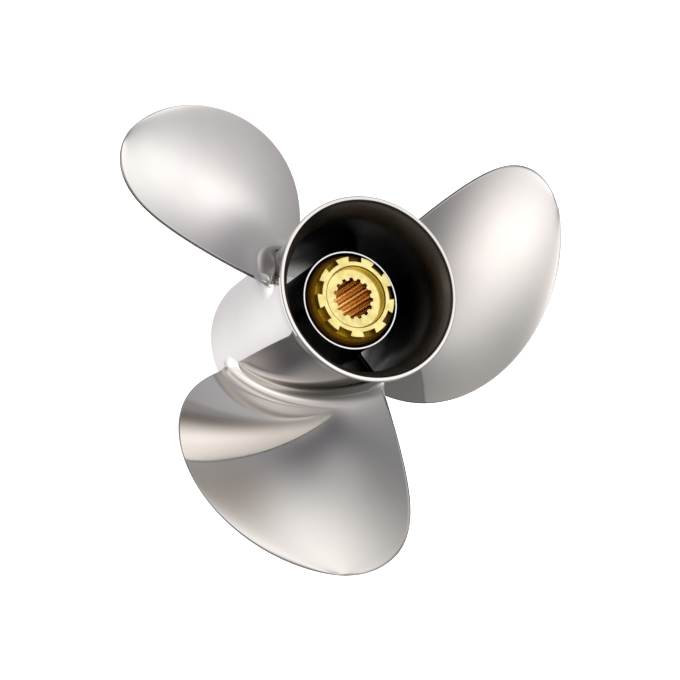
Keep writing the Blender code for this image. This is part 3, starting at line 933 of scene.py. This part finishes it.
def broached_brass():
    """The splined bore: copper brown, streaked along the axis by the broach, with a painted highlight down
    the middle of each land, painted light that makes the deep part yellower and painted shade in the groove
    floors near the top."""
    material, nodes, shader = new_material("broached_brass_look")
    radius, x, y, z = nodes.around()
    turn = nodes.math("ARCTAN2", y, x)
    pitch = TURN / SPLINE_COUNT
    offset = SPLINE_COUNT - FIRST_GROOVE_ANGLE / pitch
    place = nodes.math("FRACT", nodes.math("MULTIPLY_ADD", turn, 1 / pitch, offset))
    # How far from the middle of a land, as a share of the spacing: a half in the middle of a groove.
    place = nodes.math("ABSOLUTE", nodes.math("SUBTRACT", place, 0.5))
    # painted highlight: a bright line down the middle of each land
    painted_highlight_line = nodes.between(place, 0.04, 0.12, 1.0, 0.0)
    marks = nodes.noise(nodes.join(nodes.math("MULTIPLY", x, 9.0), nodes.math("MULTIPLY", y, 9.0),
                                   nodes.math("MULTIPLY", z, 3.0)), 1.6, 3.0, 0.65)
    streaks = nodes.between(marks, 0.4, 0.62, 0.0, 1.0)
    floor = nodes.between(radius, SPLINE_MINOR_RADIUS + 0.3 * MM, SPLINE_MAJOR_RADIUS - 0.3 * MM, 0.0, 1.0)
    # painted light: deeper in the bore the brass is lighter and yellower, for light through the far end
    painted_deep_light = nodes.between(z, SEAT_HEIGHT - 34 * MM, SEAT_HEIGHT - 8 * MM, 1.0, 0.0)
    # painted shade: the groove floors darken towards the top of the bore
    rim = nodes.between(z, SEAT_HEIGHT - 9 * MM, SEAT_HEIGHT - 2 * MM, 0.0, 1.0)
    plain = nodes.colours(streaks, (0.34, 0.15, 0.09), (0.56, 0.29, 0.13))
    plain = nodes.colours(painted_deep_light, plain, nodes.colours(streaks, (0.46, 0.27, 0.05), (0.70, 0.46, 0.10)))
    low = nodes.colours(floor, plain, nodes.colours(rim, (0.50, 0.28, 0.10), (0.10, 0.04, 0.02)))
    shader["Metallic"].default_value = 1.0
    nodes.set(shader["Base Color"], nodes.colours(painted_highlight_line, low, (1.0, 0.90, 0.62)))
    nodes.set(shader["Roughness"], nodes.between(marks, 0.35, 0.65, 0.1, 0.2))
    nodes.set(shader["Normal"], nodes.bump(marks, 0.000008))
    return material


def bonded_rubber():
    """Matt black rubber with a fine moulded grain."""
    material, nodes, shader = new_material("bonded_rubber_look")
    bloom = nodes.noise(nodes.place, 120.0, 4.0)
    nodes.set(shader["Base Color"], nodes.colours(
        nodes.between(bloom, 0.4, 0.7, 0.0, 1.0), (0.014, 0.014, 0.015), (0.035, 0.034, 0.033)))
    nodes.set(shader["Roughness"], nodes.between(bloom, 0.3, 0.7, 0.62, 0.8))
    nodes.set(shader["Normal"], nodes.bump(nodes.noise(nodes.place, 1400.0, 3.0), 0.00008))
    return material


# The picture

def place_camera():
    """The photograph's camera: tilt, turn and distance fitted to the propeller's outlines."""
    tilt, turn = CAMERA_TILT, CAMERA_TURN
    aft = Vector((math.sin(tilt) * math.cos(turn), -math.sin(tilt) * math.sin(turn), -math.cos(tilt)))
    right = (Vector((1, 0, 0)) - aft.x * aft).normalized()
    up = aft.cross(right)
    # Rows of the matrix: the camera's right, down and forward directions in the part's frame.
    to_camera = Matrix((right, up, aft)).transposed()
    scale = CAMERA_DISTANCE / FOCAL_PIXELS
    centre = FRAME_SIDE / 2
    offset = Vector(((AXIS_PIXEL[0] - centre) * scale, (AXIS_PIXEL[1] - centre) * scale, CAMERA_DISTANCE))
    eye = to_camera.transposed() @ -offset
    axes = Matrix((to_camera[0], -to_camera[1], -to_camera[2])).transposed().to_4x4()
    data = bpy.data.cameras.new("photo_camera")
    data.sensor_width = SENSOR
    data.lens = SENSOR * FOCAL_PIXELS / FRAME_SIDE
    camera = bpy.data.objects.new("photo_camera", data)
    camera.matrix_world = Matrix.Translation(eye) @ axes
    bpy.context.scene.collection.objects.link(camera)
    bpy.context.scene.camera = camera


def make_floor():
    """A pale floor that glows evenly, less under the hub, so it stays plain. Reflections don't show it."""
    mesh = bpy.data.meshes.new("studio_floor")
    side = FLOOR_SIDE
    corners = [(-side, -side, 0), (side, -side, 0), (side, side, 0), (-side, side, 0)]
    mesh.from_pydata(corners, [], [(0, 1, 2, 3)])
    floor = bpy.data.objects.new("studio_floor", mesh)
    material, nodes, shader = new_material("pale_floor")
    shader["Base Color"].default_value = (0.9, 0.9, 0.9, 1.0)
    shader["Roughness"].default_value = 0.9
    shader["Emission Color"].default_value = (1.0, 1.0, 1.0, 1.0)
    radius = nodes.around()[0]
    glow = nodes.between(radius, BARREL_BORE, BARREL_RADIUS, UNDER_HUB_LIGHT, 1.0)
    nodes.set(shader["Emission Strength"], glow)
    material.cycles.emission_sampling = "NONE"
    mesh.materials.append(material)
    floor.visible_glossy = False
    bpy.context.scene.collection.objects.link(floor)


def make_bore_light():
    """A bright round patch of table under the splined bore, which lights the bore from its far end."""
    mesh = bpy.data.meshes.new("bore_light")
    sides = BORE_LIGHT_SIDES
    corners = [polar(WEB_BORE, TURN * i / sides, BORE_LIGHT_HEIGHT) for i in range(sides)]
    mesh.from_pydata(corners, [], [tuple(range(sides))])
    patch = bpy.data.objects.new("bore_light", mesh)
    material, _, shader = new_material("bright_table")
    shader["Base Color"].default_value = (0.9, 0.9, 0.9, 1.0)
    shader["Emission Color"].default_value = (1.0, 1.0, 1.0, 1.0)
    shader["Emission Strength"].default_value = UNDER_BORE_LIGHT
    material.cycles.emission_sampling = "NONE"
    mesh.materials.append(material)
    bpy.context.scene.collection.objects.link(patch)


def make_studio():
    """Soft lights and dark flags round the propeller. Behind it the camera sees plain white."""
    world = bpy.data.worlds.new("studio")
    bpy.context.scene.world = world
    world.use_nodes = True
    tree = world.node_tree
    tree.nodes.clear()
    nodes = Nodes(tree)
    direction = tree.nodes.new("ShaderNodeTexCoord").outputs["Generated"]
    light = ROOM_LIGHT
    for _, polar_angle, azimuth, tightness, colour in STUDIO_LIGHTS:
        tilt, turn = math.radians(polar_angle), math.radians(azimuth)
        towards = polar(math.sin(tilt), turn, math.cos(tilt))
        near = nodes.vector("DOT_PRODUCT", direction, towards)
        power = nodes.math("MULTIPLY_ADD", near, float(tightness), -float(tightness))
        strength = nodes.math("EXPONENT", power)
        glow = nodes.vector("MULTIPLY", nodes.join(strength, strength, strength), colour)
        light = nodes.vector("ADD", light, glow)
    light = nodes.vector("MAXIMUM", light, (0.0, 0.0, 0.0))
    lit = tree.nodes.new("ShaderNodeBackground")
    nodes.set(lit.inputs["Color"], light)
    plain = tree.nodes.new("ShaderNodeBackground")
    plain.inputs["Color"].default_value = (1.0, 1.0, 1.0, 1.0)
    choice = tree.nodes.new("ShaderNodeMixShader")
    nodes.set(choice.inputs["Fac"], tree.nodes.new("ShaderNodeLightPath").outputs["Is Camera Ray"])
    nodes.set(choice.inputs[1], lit.outputs[0])
    nodes.set(choice.inputs[2], plain.outputs[0])
    nodes.set(tree.nodes.new("ShaderNodeOutputWorld").inputs["Surface"], choice.outputs[0])


def main():
    polished, inside_steel, edge_steel = polished_steel(), hub_inside(), ground_edge()
    casting_nodes = ["hub_barrel", "exhaust_mouth", "blade_1", "blade_2", "blade_3"]
    pieces = [
        (make_casting(polished, inside_steel, edge_steel), "polished_steel", casting_nodes),
        (make_inner_hub(inside_steel, polished), "hub_inside_steel", ["inner_hub"]),
        (make_sleeve(machined_brass(), tarnished_and_shaded_brass(), broached_brass()), "brass", ["brass_sleeve"]),
    ]
    for number in range(1, RIB_COUNT + 1):
        pieces.append((make_rib(number, inside_steel), "hub_inside_steel", [f"rib_{number}"]))
    for piece, slot, nodes in pieces:
        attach(piece, "root")
        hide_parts(*nodes)
    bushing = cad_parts["rubber_bushing"]
    rubber = bonded_rubber()
    for place in bushing.material_slots:
        place.material = rubber
    make_floor()
    make_bore_light()
    make_studio()
    place_camera()
    bpy.context.scene.view_settings.view_transform = "Standard"


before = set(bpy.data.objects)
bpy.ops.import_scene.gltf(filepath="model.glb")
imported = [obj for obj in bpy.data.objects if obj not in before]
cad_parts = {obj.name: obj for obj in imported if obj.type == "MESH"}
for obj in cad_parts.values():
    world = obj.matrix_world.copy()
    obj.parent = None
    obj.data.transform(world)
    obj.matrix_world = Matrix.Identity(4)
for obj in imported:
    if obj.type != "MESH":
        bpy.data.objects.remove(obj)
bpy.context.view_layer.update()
main()
